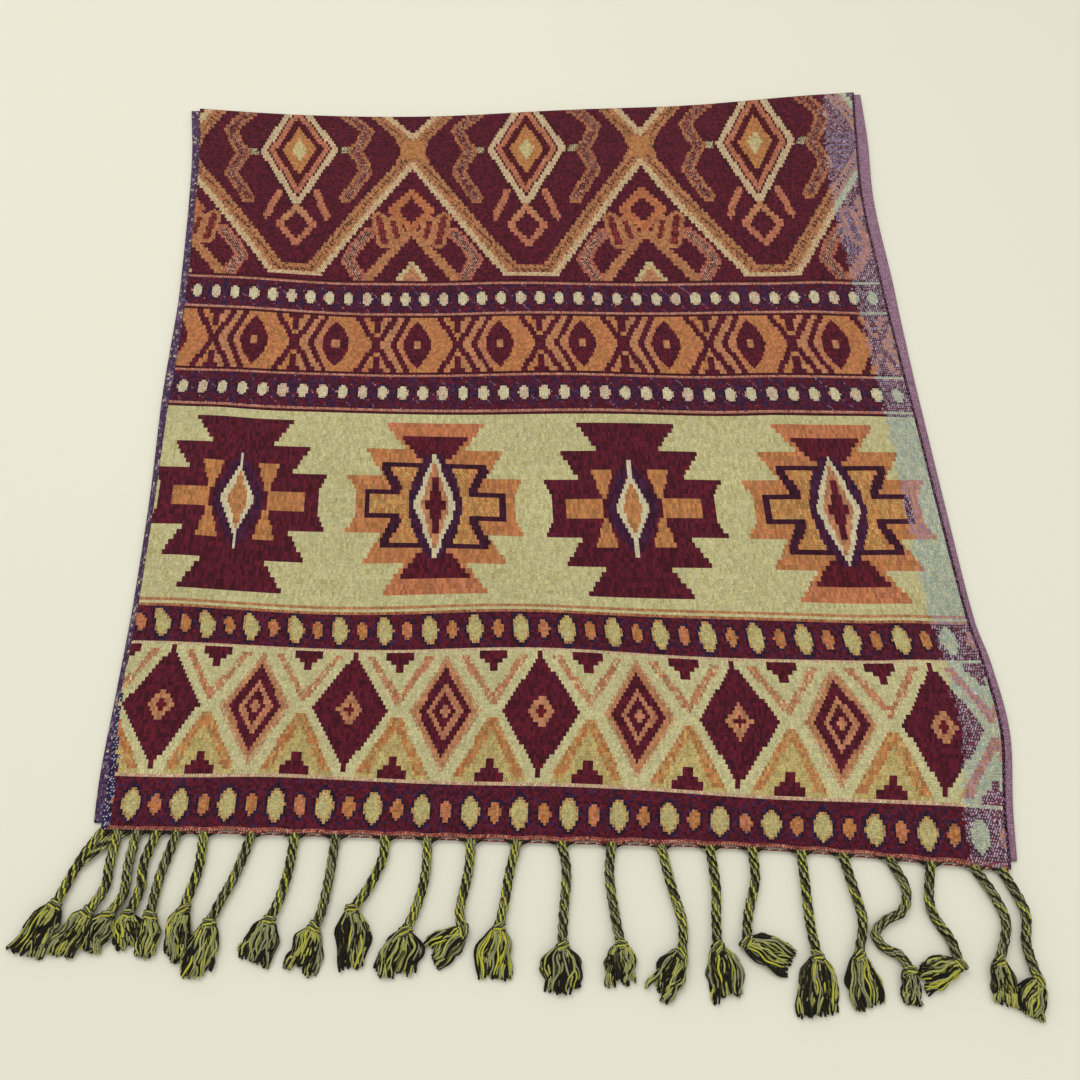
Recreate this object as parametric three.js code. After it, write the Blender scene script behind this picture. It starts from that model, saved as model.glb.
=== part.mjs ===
// A long woven shawl with knotted tassels, folded once across its middle and laid flat.
// Millimetres, +Z up. X runs along the weft (the width), Y along the warp (the length):
// the tasselled hem is at the low-Y end and the fold at the high-Y end.

import * as THREE from 'three';

// ---------------------------------------------------------------- driving dimensions

const WALL = 1.6; // the woven cloth
const GAP = 0.3; // between pieces that lie on or meet each other
const UNDER_THICKNESS = 3.2; // the leaf below and its tucked end, pressed flat
const EDGE_ROUND = 0.9; // how far the rims of the lower layers curl in
const FLOOR_CLEAR = 0.3; // what hangs free stays this far above the surface
const HEM_DROOP = 1.2; // the hem sinks a little where nothing lies under it
const DROOP_REACH = 18;
const HEM_SETBACK = 6; // the lower layers stop short of the hem

const CORD_RADIUS = 3.6; // a twisted tassel cord, out to its two plies
const CORD_WAIST = 0.74; // its radius between the plies, as a share
const CORD_STEP = 5.5;
const CORD_TWIST = THREE.MathUtils.degToRad(60); // for each step
const KNOT_RADIUS = 5.6;
const KNOT_REACH = 9; // the cord swells towards its knot over this length
const HEAD_REACH = 7; // from the knot's middle to where the locks part
const HEAD_WIDTH = 10; // of the head there
const HEAD_HALF_HEIGHT = 4.4;

// The middle of the laid shawl's box, fringe included, measured from the middle of its hem.
const LAID_CENTRE = { x: -15.2, y: 342.74 };

// Weft lines of the cloth, from the hem to the fold. s is how far along the warp the line is
// woven; y0 to y4 are where it lies at the left selvedge, at each quarter and at the right
// selvedge; left and right are the selvedges; peekL and peekR are how far the lower leaf
// stands out past them.
const WEFT_LINES = [
  { s: 0, y0: 16, y1: 9.5, y2: 1.5, y3: -7, y4: -25, left: -343, right: 341, peekL: 7, peekR: 6 },
  { s: 42, y0: 58, y1: 51, y2: 43, y3: 31, y4: 20, left: -343, right: 346, peekL: 8, peekR: 7 },
  { s: 101, y0: 116, y1: 108, y2: 103, y3: 92, y4: 84, left: -344, right: 357, peekL: 5, peekR: 7 },
  { s: 156, y0: 169, y1: 159, y2: 157, y3: 145, y4: 143, left: -341, right: 354, peekL: 6, peekR: 7 },
  { s: 193, y0: 206, y1: 196, y2: 195, y3: 186, y4: 181, left: -340, right: 349, peekL: 6, peekR: 6 },
  { s: 292, y0: 306, y1: 296, y2: 290, y3: 287, y4: 285, left: -340, right: 344, peekL: 6, peekR: 7 },
  { s: 397, y0: 408, y1: 397, y2: 396, y3: 393, y4: 390, left: -341, right: 340, peekL: 8, peekR: 8 },
  { s: 436, y0: 445, y1: 435, y2: 435, y3: 432, y4: 430, left: -340, right: 338, peekL: 9, peekR: 9 },
  { s: 510, y0: 521, y1: 508, y2: 509, y3: 508, y4: 508, left: -340, right: 335, peekL: 8, peekR: 11 },
  { s: 548, y0: 559, y1: 547, y2: 548, y3: 546, y4: 548, left: -341, right: 334, peekL: 8, peekR: 12 },
  { s: 650, y0: 652, y1: 648, y2: 649, y3: 651, y4: 657, left: -345, right: 332, peekL: 8, peekR: 12 },
  { s: 730, y0: 724, y1: 725, y2: 728, y3: 734, y4: 744, left: -349, right: 339, peekL: 9, peekR: 12 },
  { s: 789, y0: 787, y1: 774, y2: 783, y3: 795, y4: 815, left: -356, right: 346, peekL: 10, peekR: 8 },
];

// Soft swells where the cloth doesn't lie quite flat: where the middle is, which way the ridge
// runs (degrees from +X), half its length, half its width, and how high it stands.
const SWELLS = [
  { x: -215, y: 70, turn: 62, reach: 120, half: 34, rise: 2.6 },
  { x: 300, y: 130, turn: 96, reach: 150, half: 26, rise: 3.2 },
  { x: 120, y: 40, turn: 24, reach: 110, half: 30, rise: 2.2 },
  { x: -300, y: 330, turn: 84, reach: 150, half: 28, rise: 2.6 },
  { x: -60, y: 215, turn: 158, reach: 170, half: 36, rise: 2.0 },
  { x: 215, y: 345, turn: 100, reach: 120, half: 34, rise: 2.3 },
  { x: 20, y: 455, turn: 8, reach: 190, half: 32, rise: 1.8 },
  { x: 285, y: 600, turn: 74, reach: 130, half: 30, rise: 2.8 },
  { x: -175, y: 610, turn: 112, reach: 140, half: 36, rise: 2.4 },
  { x: 60, y: 690, turn: 20, reach: 120, half: 30, rise: 2.0 },
];

// Twenty-four tassels: where each leaves the hem, the bends its cord makes on the surface and
// its knot, then the way its brush points (degrees from straight down, positive to the right),
// how wide it fans to each side and how far it reaches past the knot.
const TASSELS = [
  { root: -342, bends: [[-353, -3], [-361, -21]], knot: [-368, -40], turn: -27, fan: 21, brush: 40 },
  { root: -330, bends: [[-333, -10], [-334, -27]], knot: [-344, -46], turn: -33, fan: 3, brush: 38 },
  { root: -316, bends: [[-319, -9], [-320, -33]], knot: [-329, -48], turn: -31, fan: 4, brush: 37 },
  { root: -301, bends: [[-308, -10], [-308, -28]], knot: [-314, -48], turn: 2, fan: 18, brush: 27 },
  { root: -286, bends: [[-294, -16], [-297, -34]], knot: [-298, -49], turn: 3, fan: 7, brush: 31 },
  { root: -266, bends: [[-267, -14], [-272, -33]], knot: [-275, -46], turn: -4, fan: 10, brush: 37 },
  { root: -230, bends: [[-239, -18], [-249, -40]], knot: [-255, -55], turn: -6, fan: 18, brush: 40 },
  { root: -198, bends: [[-200, -13], [-205, -36]], knot: [-212, -54], turn: -18, fan: 26, brush: 29 },
  { root: -167, bends: [[-170, -22], [-174, -46]], knot: [-179, -60], turn: -13, fan: 27, brush: 31 },
  { root: -130, bends: [[-131, -9], [-141, -31]], knot: [-152, -47], turn: 6, fan: 18, brush: 43 },
  { root: -98, bends: [[-99, -22], [-106, -48]], knot: [-113, -63], turn: -5, fan: 25, brush: 33 },
  { root: -65, bends: [[-67, -20], [-73, -47]], knot: [-71, -64], turn: -48, fan: 28, brush: 28 },
  { root: -30, bends: [[-36, -20], [-41, -46]], knot: [-45, -62], turn: -10, fan: 24, brush: 38 },
  { root: 3, bends: [[6, -22], [3, -52]], knot: [1, -76], turn: -3, fan: 26, brush: 35 },
  { root: 41, bends: [[38, -24], [41, -56]], knot: [44, -75], turn: -4, fan: 22, brush: 29 },
  { root: 78, bends: [[84, -34], [90, -60]], knot: [88, -81], turn: -26, fan: 23, brush: 36 },
  { root: 115, bends: [[117, -34], [115, -58]], knot: [114, -78], turn: 12, fan: 23, brush: 37 },
  { root: 147, bends: [[147, -29], [139, -55]], knot: [136, -75], turn: 58, fan: 24, brush: 35 },
  { root: 184, bends: [[184, -34], [184, -62]], knot: [186, -86], turn: -3, fan: 17, brush: 42 },
  { root: 215, bends: [[221, -44], [223, -62]], knot: [216, -86], turn: 5, fan: 27, brush: 36 },
  {
    root: 250,
    bends: [[259, -38], [254, -54], [240, -61], [231, -70], [236, -80], [247, -86]],
    knot: [252, -97], turn: -12, fan: 7, brush: 22,
  },
  { root: 281, bends: [[275, -52], [286, -76]], knot: [288, -93], turn: -74, fan: 12, brush: 29 },
  { root: 313, bends: [[325, -46], [329, -66]], knot: [318, -92], turn: -2, fan: 12, brush: 33 },
  { root: 334, bends: [[345, -56], [341, -80]], knot: [344, -106], turn: -14, fan: 27, brush: 23 },
];

// The locks of a brush from left to right: each one's share of the brush's length, and how far
// it rides up on its neighbours.
const LOCKS = [
  { share: 0.84, lift: 0 },
  { share: 0.97, lift: 1.1 },
  { share: 0.92, lift: 0 },
  { share: 1, lift: 1.5 },
  { share: 0.95, lift: 0.2 },
  { share: 0.88, lift: 1.2 },
  { share: 0.8, lift: 0 },
];

// A lock's sections: how far along it, how much of its place in the fan it fills, and its
// lowest and highest points over the surface.
const LOCK_SECTIONS = [
  { at: 0.3, fill: 0.86, low: 0.5, high: 7.2 },
  { at: 0.68, fill: 0.84, low: 0.4, high: 5.2 },
  { at: 1, fill: 0.5, low: 0.5, high: 2.6 },
];

// Rows and columns of the cloth's net.
const ROWS = [0, 6, 24, 42, 72, 101, 128, 156, 193, 226, 259, 292, 327, 362, 397, 436, 473, 510,
  548, 599, 650, 690, 730, 760];
const COLUMNS = 20;
const FOLD_STEPS = 6;

// ---------------------------------------------------------------- how the cloth lies

// A smooth curve through values given at rising stations.
function smooth(stations, values, t) {
  const last = stations.length - 1;
  let i = 0;
  while (i < last - 1 && t > stations[i + 1]) i += 1;
  const slope = (k) => {
    const a = Math.max(0, k - 1);
    const b = Math.min(last, k + 1);
    return (values[b] - values[a]) / (stations[b] - stations[a]);
  };
  const span = stations[i + 1] - stations[i];
  const f = (t - stations[i]) / span;
  const f2 = f * f;
  const f3 = f2 * f;
  return (2 * f3 - 3 * f2 + 1) * values[i] + (f3 - 2 * f2 + f) * span * slope(i)
    + (3 * f2 - 2 * f3) * values[i + 1] + (f3 - f2) * span * slope(i + 1);
}

const LINE_STATIONS = WEFT_LINES.map((line) => line.s);
const QUARTERS = [0, 0.25, 0.5, 0.75, 1];
const column = (name) => WEFT_LINES.map((line) => line[name]);
const LEFT = column('left');
const RIGHT = column('right');
const PEEK_LEFT = column('peekL');
const PEEK_RIGHT = column('peekR');

// Where the point u across (0 to 1) and s along the warp lies on the surface.
function layOut(u, s) {
  const heights = WEFT_LINES.map((line) =>
    smooth(QUARTERS, [line.y0, line.y1, line.y2, line.y3, line.y4], u));
  const left = smooth(LINE_STATIONS, LEFT, s);
  const right = smooth(LINE_STATIONS, RIGHT, s);
  return { x: left + (right - left) * u, y: smooth(LINE_STATIONS, heights, s) };
}

// How far the cloth stands above its flat level at a place.
function swell(x, y) {
  let rise = 0;
  for (const ridge of SWELLS) {
    const turn = THREE.MathUtils.degToRad(ridge.turn);
    const along = (x - ridge.x) * Math.cos(turn) + (y - ridge.y) * Math.sin(turn);
    const across = (y - ridge.y) * Math.cos(turn) - (x - ridge.x) * Math.sin(turn);
    rise += ridge.rise * Math.exp(-((along / ridge.reach) ** 2) - (across / ridge.half) ** 2);
  }
  return rise;
}

// The top of the lower layers, which is what the upper leaf lies on.
function bedHeight(x, y, s) {
  const droop = s < DROOP_REACH ? HEM_DROOP * (1 - s / DROOP_REACH) ** 2 : 0;
  const foldEase = THREE.MathUtils.smoothstep(WEFT_LINES.at(-1).s - s, 0, 60);
  return UNDER_THICKNESS - droop + swell(x, y) * foldEase;
}

// ---------------------------------------------------------------- closed solids from nets

function solidGeometry(points, faces) {
  const geometry = new THREE.BufferGeometry();
  geometry.setAttribute('position', new THREE.Float32BufferAttribute(points.flat(), 3));
  geometry.setIndex(faces.flat());
  return geometry;
}

const quad = (a, b, c, d) => [a, b, c, a, c, d];

// The upper leaf: its face and its back are two nets, a wall apart, joined round the rim.
function upperLeafGeometry() {
  const foldTop = UNDER_THICKNESS + GAP + WALL;
  const foldRadius = (foldTop - FLOOR_CLEAR) / 2;
  const foldMiddle = FLOOR_CLEAR + foldRadius;
  const lastRow = WEFT_LINES.at(-1).s - foldRadius;
  const rows = [...ROWS, lastRow];
  const face = [];
  const back = [];
  for (let c = 0; c <= COLUMNS; c += 1) {
    const u = c / COLUMNS;
    for (const s of rows) {
      const { x, y } = layOut(u, s);
      const underside = bedHeight(x, y, s) + GAP;
      face.push([x, y, underside + WALL]);
      back.push([x, y, underside]);
    }
    const edge = layOut(u, lastRow);
    for (let step = 1; step <= FOLD_STEPS; step += 1) {
      const angle = Math.PI / 2 - (Math.PI * step) / FOLD_STEPS;
      const [outY, outZ] = [Math.cos(angle), Math.sin(angle)];
      const inner = foldRadius - WALL;
      face.push([edge.x, edge.y + outY * foldRadius, foldMiddle + outZ * foldRadius]);
      back.push([edge.x, edge.y + outY * inner, foldMiddle + outZ * inner]);
    }
  }
  const length = rows.length + FOLD_STEPS;
  const backStart = face.length;
  const at = (c, r) => c * length + r;
  const faces = [];
  for (let c = 0; c < COLUMNS; c += 1) {
    for (let r = 0; r < length - 1; r += 1) {
      const [a, b, d, e] = [at(c, r), at(c + 1, r), at(c + 1, r + 1), at(c, r + 1)];
      faces.push(quad(a, b, d, e));
      faces.push(quad(backStart + a, backStart + e, backStart + d, backStart + b));
    }
    const [hemA, hemB] = [at(c, 0), at(c + 1, 0)];
    faces.push(quad(backStart + hemA, backStart + hemB, hemB, hemA));
    const [lipA, lipB] = [at(c, length - 1), at(c + 1, length - 1)];
    faces.push(quad(lipA, lipB, backStart + lipB, backStart + lipA));
  }
  for (let r = 0; r < length - 1; r += 1) {
    const [a, b] = [at(0, r), at(0, r + 1)];
    faces.push(quad(a, b, backStart + b, backStart + a));
    const [d, e] = [at(COLUMNS, r), at(COLUMNS, r + 1)];
    faces.push(quad(d, backStart + d, backStart + e, e));
  }
  return solidGeometry([...face, ...back], faces);
}

// The lower leaf and its tucked end, as one pressed solid: its top is the bed of the upper leaf,
// its rim shows the two layers, and it lies flat on the surface.
function lowerLayersGeometry() {
  const foldRadius = (UNDER_THICKNESS + GAP + WALL - FLOOR_CLEAR) / 2;
  const lastRow = WEFT_LINES.at(-1).s - foldRadius;
  const rows = [...ROWS.filter((s) => s >= HEM_SETBACK), lastRow];
  const columns = COLUMNS + 3;
  const levels = [
    { part: 1, inset: EDGE_ROUND },
    { part: 0.75, inset: 0 },
    { part: 0.5, inset: 1.1 },
    { part: 0.25, inset: 0 },
    { part: 0, inset: EDGE_ROUND },
  ];
  // A point of the net, drawn in from the rim by inset where it lies on the rim.
  const place = (c, r, inset) => {
    const u = THREE.MathUtils.clamp((c - 1) / COLUMNS, 0, 1);
    const s = rows[r];
    const lies = layOut(u, s);
    let { x, y } = lies;
    if (c === 0) x += inset - smooth(LINE_STATIONS, PEEK_LEFT, s);
    if (c === columns - 1) x += smooth(LINE_STATIONS, PEEK_RIGHT, s) - inset;
    if (r === 0) y += inset;
    if (r === rows.length - 1) y -= inset + GAP;
    return { x, y, bed: bedHeight(lies.x, lies.y, s) };
  };
  const points = [];
  const top = [];
  for (let r = 0; r < rows.length; r += 1) {
    top.push([]);
    for (let c = 0; c < columns; c += 1) {
      const { x, y, bed } = place(c, r, EDGE_ROUND);
      top[r].push(points.length);
      points.push([x, y, bed]);
    }
  }
  const faces = [];
  for (let r = 0; r < rows.length - 1; r += 1) {
    for (let c = 0; c < columns - 1; c += 1) {
      faces.push(quad(top[r][c], top[r][c + 1], top[r + 1][c + 1], top[r + 1][c]));
    }
  }
  // The rim, anticlockwise from the front left corner.
  const rim = [];
  for (let c = 0; c < columns - 1; c += 1) rim.push([c, 0]);
  for (let r = 0; r < rows.length - 1; r += 1) rim.push([columns - 1, r]);
  for (let c = columns - 1; c > 0; c -= 1) rim.push([c, rows.length - 1]);
  for (let r = rows.length - 1; r > 0; r -= 1) rim.push([0, r]);
  let above = rim.map(([c, r]) => top[r][c]);
  for (const level of levels.slice(1)) {
    const below = rim.map(([c, r]) => {
      const { x, y, bed } = place(c, r, level.inset);
      points.push([x, y, bed * level.part]);
      return points.length - 1;
    });
    rim.forEach((_, i) => {
      const next = (i + 1) % rim.length;
      faces.push(quad(above[i], below[i], below[next], above[next]));
    });
    above = below;
  }
  const middle = points.push([LAID_CENTRE.x, WEFT_LINES.at(-1).s / 2, 0]) - 1;
  above.forEach((point, i) => faces.push([middle, above[(i + 1) % above.length], point]));
  return solidGeometry(points, faces);
}

// ---------------------------------------------------------------- tassels

// The heading on the surface that lies so many degrees from straight down.
function headingAt(degrees) {
  const turn = THREE.MathUtils.degToRad(degrees);
  return new THREE.Vector3(Math.sin(turn), -Math.cos(turn), 0);
}

// The way left of a level heading.
const leftOf = (heading) => new THREE.Vector3(-heading.y, heading.x, 0).normalize();

// Where the hem's net lies at a place across, and the way it faces there.
function hemAt(x) {
  const hem = [];
  for (let c = 0; c <= COLUMNS; c += 1) hem.push(layOut(c / COLUMNS, 0));
  const c = Math.max(0, hem.findIndex((point) => point.x > x) - 1);
  const along = new THREE.Vector3(hem[c + 1].x - hem[c].x, hem[c + 1].y - hem[c].y, 0);
  const share = (x - hem[c].x) / along.x;
  const point = new THREE.Vector3(x, hem[c].y + along.y * share, 0);
  return { point, facing: new THREE.Vector3(along.y, -along.x, 0).normalize() };
}

// The rings of the twisted cord, from the hem to the far side of its knot. Each has four corners:
// left, top, right and bottom once the twist has run out.
function cordRings(tassel, knot, headEnd) {
  const hem = hemAt(tassel.root);
  const start = hem.point.addScaledVector(hem.facing, GAP);
  const bends = tassel.bends.map(([x, y]) => new THREE.Vector3(x, y, 0));
  const path = new THREE.CatmullRomCurve3([start, ...bends, knot, headEnd]);
  const steps = Math.round(path.getLength() / CORD_STEP);
  const rings = [];
  for (let i = 0; i < steps; i += 1) {
    const middle = path.getPointAt(i / steps);
    const left = leftOf(i === 0 ? hem.facing : path.getTangentAt(i / steps));
    const nearness = Math.max(0, 1 - (middle.distanceTo(knot) / KNOT_REACH) ** 2);
    const radius = CORD_RADIUS + (KNOT_RADIUS - CORD_RADIUS) * nearness;
    const waist = THREE.MathUtils.lerp(CORD_WAIST, 1, nearness);
    const ring = [0, 1, 2, 3].map((corner) => {
      const angle = (corner * Math.PI) / 2 + (steps - 1 - i) * CORD_TWIST;
      const reach = corner % 2 ? radius * waist : radius;
      const point = middle.clone().addScaledVector(left, reach * Math.cos(angle));
      point.z = FLOOR_CLEAR + radius + reach * Math.sin(angle);
      return point;
    });
    rings.push(ring);
  }
  return rings;
}

// The end of the head: its top edge from left to right, then its bottom edge back again.
function headRing(headEnd, heading) {
  const left = leftOf(heading);
  const middleHeight = FLOOR_CLEAR + 1 + HEAD_HALF_HEIGHT;
  const edge = (side) => LOCKS.concat(null).map((_, j) => {
    const across = 1 - (2 * j) / LOCKS.length;
    const point = headEnd.clone().addScaledVector(left, (across * HEAD_WIDTH) / 2);
    point.z = middleHeight + side * HEAD_HALF_HEIGHT * Math.sqrt(1 - 0.75 * across * across);
    return point;
  });
  return [...edge(1), ...edge(-1).reverse()];
}

// One lock past its root: four corners in each section, in the order of the head's ring.
function lockRings(tassel, k, headEnd, heading) {
  const count = LOCKS.length;
  const place = 1 - (2 * k + 1) / count;
  const direction = headingAt(tassel.turn + tassel.fan * place);
  const root = headEnd.clone().addScaledVector(leftOf(heading), (place * HEAD_WIDTH) / 2);
  const left = leftOf(direction);
  const { share, lift } = LOCKS[k];
  return LOCK_SECTIONS.map(({ at, fill, low, high }) => {
    const reach = (tassel.brush - HEAD_REACH) * share * at;
    const room = (HEAD_WIDTH + reach * 2 * THREE.MathUtils.degToRad(tassel.fan)) / count;
    const half = (fill * room) / 2;
    const middle = root.clone().addScaledVector(direction, reach);
    return [[half, high], [-half, high], [-half, low], [half, low]].map(([aside, height]) => {
      const point = middle.clone().addScaledVector(left, aside);
      point.z = height + lift;
      return point;
    });
  });
}

function tasselGeometry(tassel) {
  const points = [];
  const faces = [];
  const put = (ring) => ring.map((point) => points.push(point.toArray()) - 1);
  const join = (near, far) => near.forEach((_, k) => {
    const next = (k + 1) % near.length;
    faces.push(quad(near[k], near[next], far[next], far[k]));
  });
  const heading = headingAt(tassel.turn);
  const knot = new THREE.Vector3(...tassel.knot, 0);
  const headEnd = knot.clone().addScaledVector(heading, HEAD_REACH);

  const cord = cordRings(tassel, knot, headEnd).map(put);
  cord.slice(1).forEach((ring, i) => join(cord[i], ring));
  faces.push(quad(cord[0][0], cord[0][3], cord[0][2], cord[0][1]));

  // From the cord's four corners to the head's edge.
  const edge = put(headRing(headEnd, heading));
  const count = LOCKS.length;
  const [leftTop, rightTop, rightBottom, leftBottom] = [0, count, count + 1, 2 * count + 1];
  const [left, top, right, bottom] = cord.at(-1);
  const fanFrom = (corner, first, last) => {
    for (let i = first; i < last; i += 1) faces.push([corner, edge[i + 1], edge[i]]);
  };
  fanFrom(top, leftTop, rightTop);
  fanFrom(right, rightTop, rightBottom);
  fanFrom(bottom, rightBottom, leftBottom);
  faces.push([left, edge[leftTop], edge[leftBottom]]);
  faces.push([left, top, edge[leftTop]], [top, right, edge[rightTop]]);
  faces.push([right, bottom, edge[rightBottom]], [bottom, left, edge[leftBottom]]);

  // Each lock grows out of its own stretch of that edge.
  for (let k = 0; k < count; k += 1) {
    let near = [edge[k], edge[k + 1], edge[leftBottom - k - 1], edge[leftBottom - k]];
    for (const ring of lockRings(tassel, k, headEnd, heading)) {
      const far = put(ring);
      join(near, far);
      near = far;
    }
    faces.push(quad(...near));
  }
  return solidGeometry(points, faces);
}

// ---------------------------------------------------------------- the shawl

const CLOTH_FACE = { color: 0x6b2e33, roughness: 0.92, metalness: 0 };
const CLOTH_REVERSE = { color: 0x7b6070, roughness: 0.92, metalness: 0 };
const YARN = { color: 0x55583a, roughness: 0.95, metalness: 0 };

const shawl = new THREE.Group();
shawl.position.set(-LAID_CENTRE.x, -LAID_CENTRE.y, 0);

function addPiece(name, geometry, finish) {
  const mesh = new THREE.Mesh(geometry, new THREE.MeshStandardMaterial(finish));
  mesh.name = name;
  shawl.add(mesh);
}

addPiece('upper_leaf', upperLeafGeometry(), CLOTH_FACE);
addPiece('lower_layers', lowerLayersGeometry(), CLOTH_REVERSE);
TASSELS.forEach((tassel, i) => {
  addPiece(`tassel_${String(i + 1).padStart(2, '0')}`, tasselGeometry(tassel), YARN);
});

export default shawl;
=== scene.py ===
"""A long woven shawl with knotted tassels, folded once across its middle and laid flat.

The cloth is worked out in millimetres from the middle of its hem, with x along the weft and y
along the warp, and is put into the frame, in metres, when a piece is made.
"""

import math

import bpy
import numpy as np
from mathutils import Matrix, Vector


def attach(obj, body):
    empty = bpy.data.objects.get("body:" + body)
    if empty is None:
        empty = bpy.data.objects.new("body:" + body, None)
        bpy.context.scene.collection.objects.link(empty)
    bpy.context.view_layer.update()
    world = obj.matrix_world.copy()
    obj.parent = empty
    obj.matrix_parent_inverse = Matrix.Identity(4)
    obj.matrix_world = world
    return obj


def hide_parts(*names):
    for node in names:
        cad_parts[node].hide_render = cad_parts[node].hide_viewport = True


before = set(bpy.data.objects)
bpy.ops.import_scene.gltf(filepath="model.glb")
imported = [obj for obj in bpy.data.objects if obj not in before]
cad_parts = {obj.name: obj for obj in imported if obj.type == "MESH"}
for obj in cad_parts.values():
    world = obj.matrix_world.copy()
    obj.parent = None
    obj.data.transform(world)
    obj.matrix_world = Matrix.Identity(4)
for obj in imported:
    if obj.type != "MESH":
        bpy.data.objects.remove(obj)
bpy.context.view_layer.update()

# ---------------- driving dimensions

MM = 0.001
WALL = 1.6  # the woven cloth
GAP = 0.3  # between pieces that lie on or meet each other
UNDER_THICKNESS = 3.2  # the leaf below and its tucked end, pressed flat
FLOOR_CLEAR = 0.3  # what hangs down stops this far above the floor
HEM_DROOP = 1.2  # how far the hem sinks, over the last of the warp
DROOP_REACH = 18.0
SWELLS_END = 60.0  # the swells die out over this much of the warp before the fold
HEM_SETBACK = 6.0  # the lower layers stop short of the hem
WIDTH = 700.0  # of the cloth, before it was laid
LAID_CENTRE = np.array([-15.2, 342.74, 0.0])

# Weft lines from the hem to the fold: how far along the warp each is woven, where it lies at
# the left selvedge, at each quarter and at the right selvedge, where the selvedges are, and how
# far the lower leaf stands out past them.
WEFT_LINES = np.array([
    # s, y0, y1, y2, y3, y4, left, right, peek left, peek right
    (0, 16, 9.5, 1.5, -7, -25, -343, 341, 7, 6),
    (42, 58, 51, 43, 31, 20, -343, 346, 8, 7),
    (101, 116, 108, 103, 92, 84, -344, 357, 5, 7),
    (156, 169, 159, 157, 145, 143, -341, 354, 6, 7),
    (193, 206, 196, 195, 186, 181, -340, 349, 6, 6),
    (292, 306, 296, 290, 287, 285, -340, 344, 6, 7),
    (397, 408, 397, 396, 393, 390, -341, 340, 8, 8),
    (436, 445, 435, 435, 432, 430, -340, 338, 9, 9),
    (510, 521, 508, 509, 508, 508, -340, 335, 8, 11),
    (548, 559, 547, 548, 546, 548, -341, 334, 8, 12),
    (650, 652, 648, 649, 651, 657, -345, 332, 8, 12),
    (730, 724, 725, 728, 734, 744, -349, 339, 9, 12),
    (789, 787, 774, 783, 795, 815, -356, 346, 10, 8),
], float)
LINE_S = WEFT_LINES[:, 0]
QUARTER_Y = WEFT_LINES[:, 1:6]
LEFT, RIGHT, PEEK_LEFT, PEEK_RIGHT = WEFT_LINES[:, 6:].T
QUARTERS = np.linspace(0, 1, 5)
LENGTH = LINE_S[-1]
FOLD_RADIUS = (UNDER_THICKNESS + GAP + WALL - FLOOR_CLEAR) / 2

# Soft swells where the cloth doesn't lie quite flat: the ridge's middle, the way it runs in
# degrees from +x, half its length, half its width, and how high it stands.
SWELLS = [
    # x, y, turn, reach, half, rise
    (-215, 70, 62, 120, 34, 2.6),
    (300, 130, 96, 150, 26, 3.2),
    (120, 40, 24, 110, 30, 2.2),
    (-300, 330, 84, 150, 28, 2.6),
    (-60, 215, 158, 170, 36, 2.0),
    (215, 345, 100, 120, 34, 2.3),
    (20, 455, 8, 190, 32, 1.8),
    (285, 600, 74, 130, 30, 2.8),
    (-175, 610, 112, 140, 36, 2.4),
    (60, 690, 20, 120, 30, 2.0),
]

# Where each tassel leaves the hem, the bends its cord makes on the surface and its knot, then
# the way its brush points (degrees from straight down, positive to the right), how far it
# reaches past the knot and half its width.
TASSELS = [
    # root, bends, knot, turn, brush, half
    (-342, [(-353, -3), (-361, -21)], (-368, -40), -27, 36, 14),
    (-330, [(-333, -10), (-334, -27)], (-344, -46), -33, 34, 12),
    (-316, [(-319, -9), (-320, -33)], (-329, -48), -29, 27, 11),
    (-301, [(-308, -10), (-308, -28)], (-314, -48), 2, 21, 12),
    (-286, [(-294, -16), (-297, -34)], (-298, -49), 3, 27, 9),
    (-266, [(-267, -14), (-272, -33)], (-275, -46), -11, 33, 11),
    (-230, [(-239, -18), (-249, -40)], (-255, -55), -7, 34, 13),
    (-198, [(-200, -13), (-205, -36)], (-212, -54), -18, 27, 13),
    (-167, [(-170, -22), (-174, -46)], (-179, -60), -20, 28, 13),
    (-130, [(-131, -9), (-141, -31)], (-152, -47), 9, 38, 13),
    (-98, [(-99, -22), (-106, -48)], (-113, -63), -9, 29, 16),
    (-65, [(-67, -20), (-73, -47)], (-71, -64), -60, 27, 13),
    (-30, [(-36, -20), (-41, -46)], (-45, -62), -6, 33, 14),
    (3, [(6, -22), (3, -52)], (1, -76), -3, 31, 17),
    (41, [(38, -24), (41, -56)], (44, -75), -4, 26, 13),
    (78, [(84, -34), (90, -60)], (88, -81), -38, 33, 12),
    (115, [(117, -34), (115, -58)], (114, -78), 17, 33, 14),
    (147, [(147, -29), (139, -55)], (136, -75), 65, 33, 13),
    (184, [(184, -34), (184, -62)], (186, -86), -3, 37, 16),
    (215, [(221, -44), (223, -62)], (216, -86), 5, 33, 13),
    (250, [(259, -38), (254, -54), (240, -61), (231, -70), (236, -80), (247, -86)],
     (252, -97), -12, 21, 8),
    (281, [(275, -52), (286, -76)], (288, -93), -74, 27, 12),
    (313, [(325, -46), (329, -66)], (318, -92), -2, 29, 10),
    (334, [(345, -56), (341, -80)], (344, -106), -36, 25, 12),
]

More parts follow.
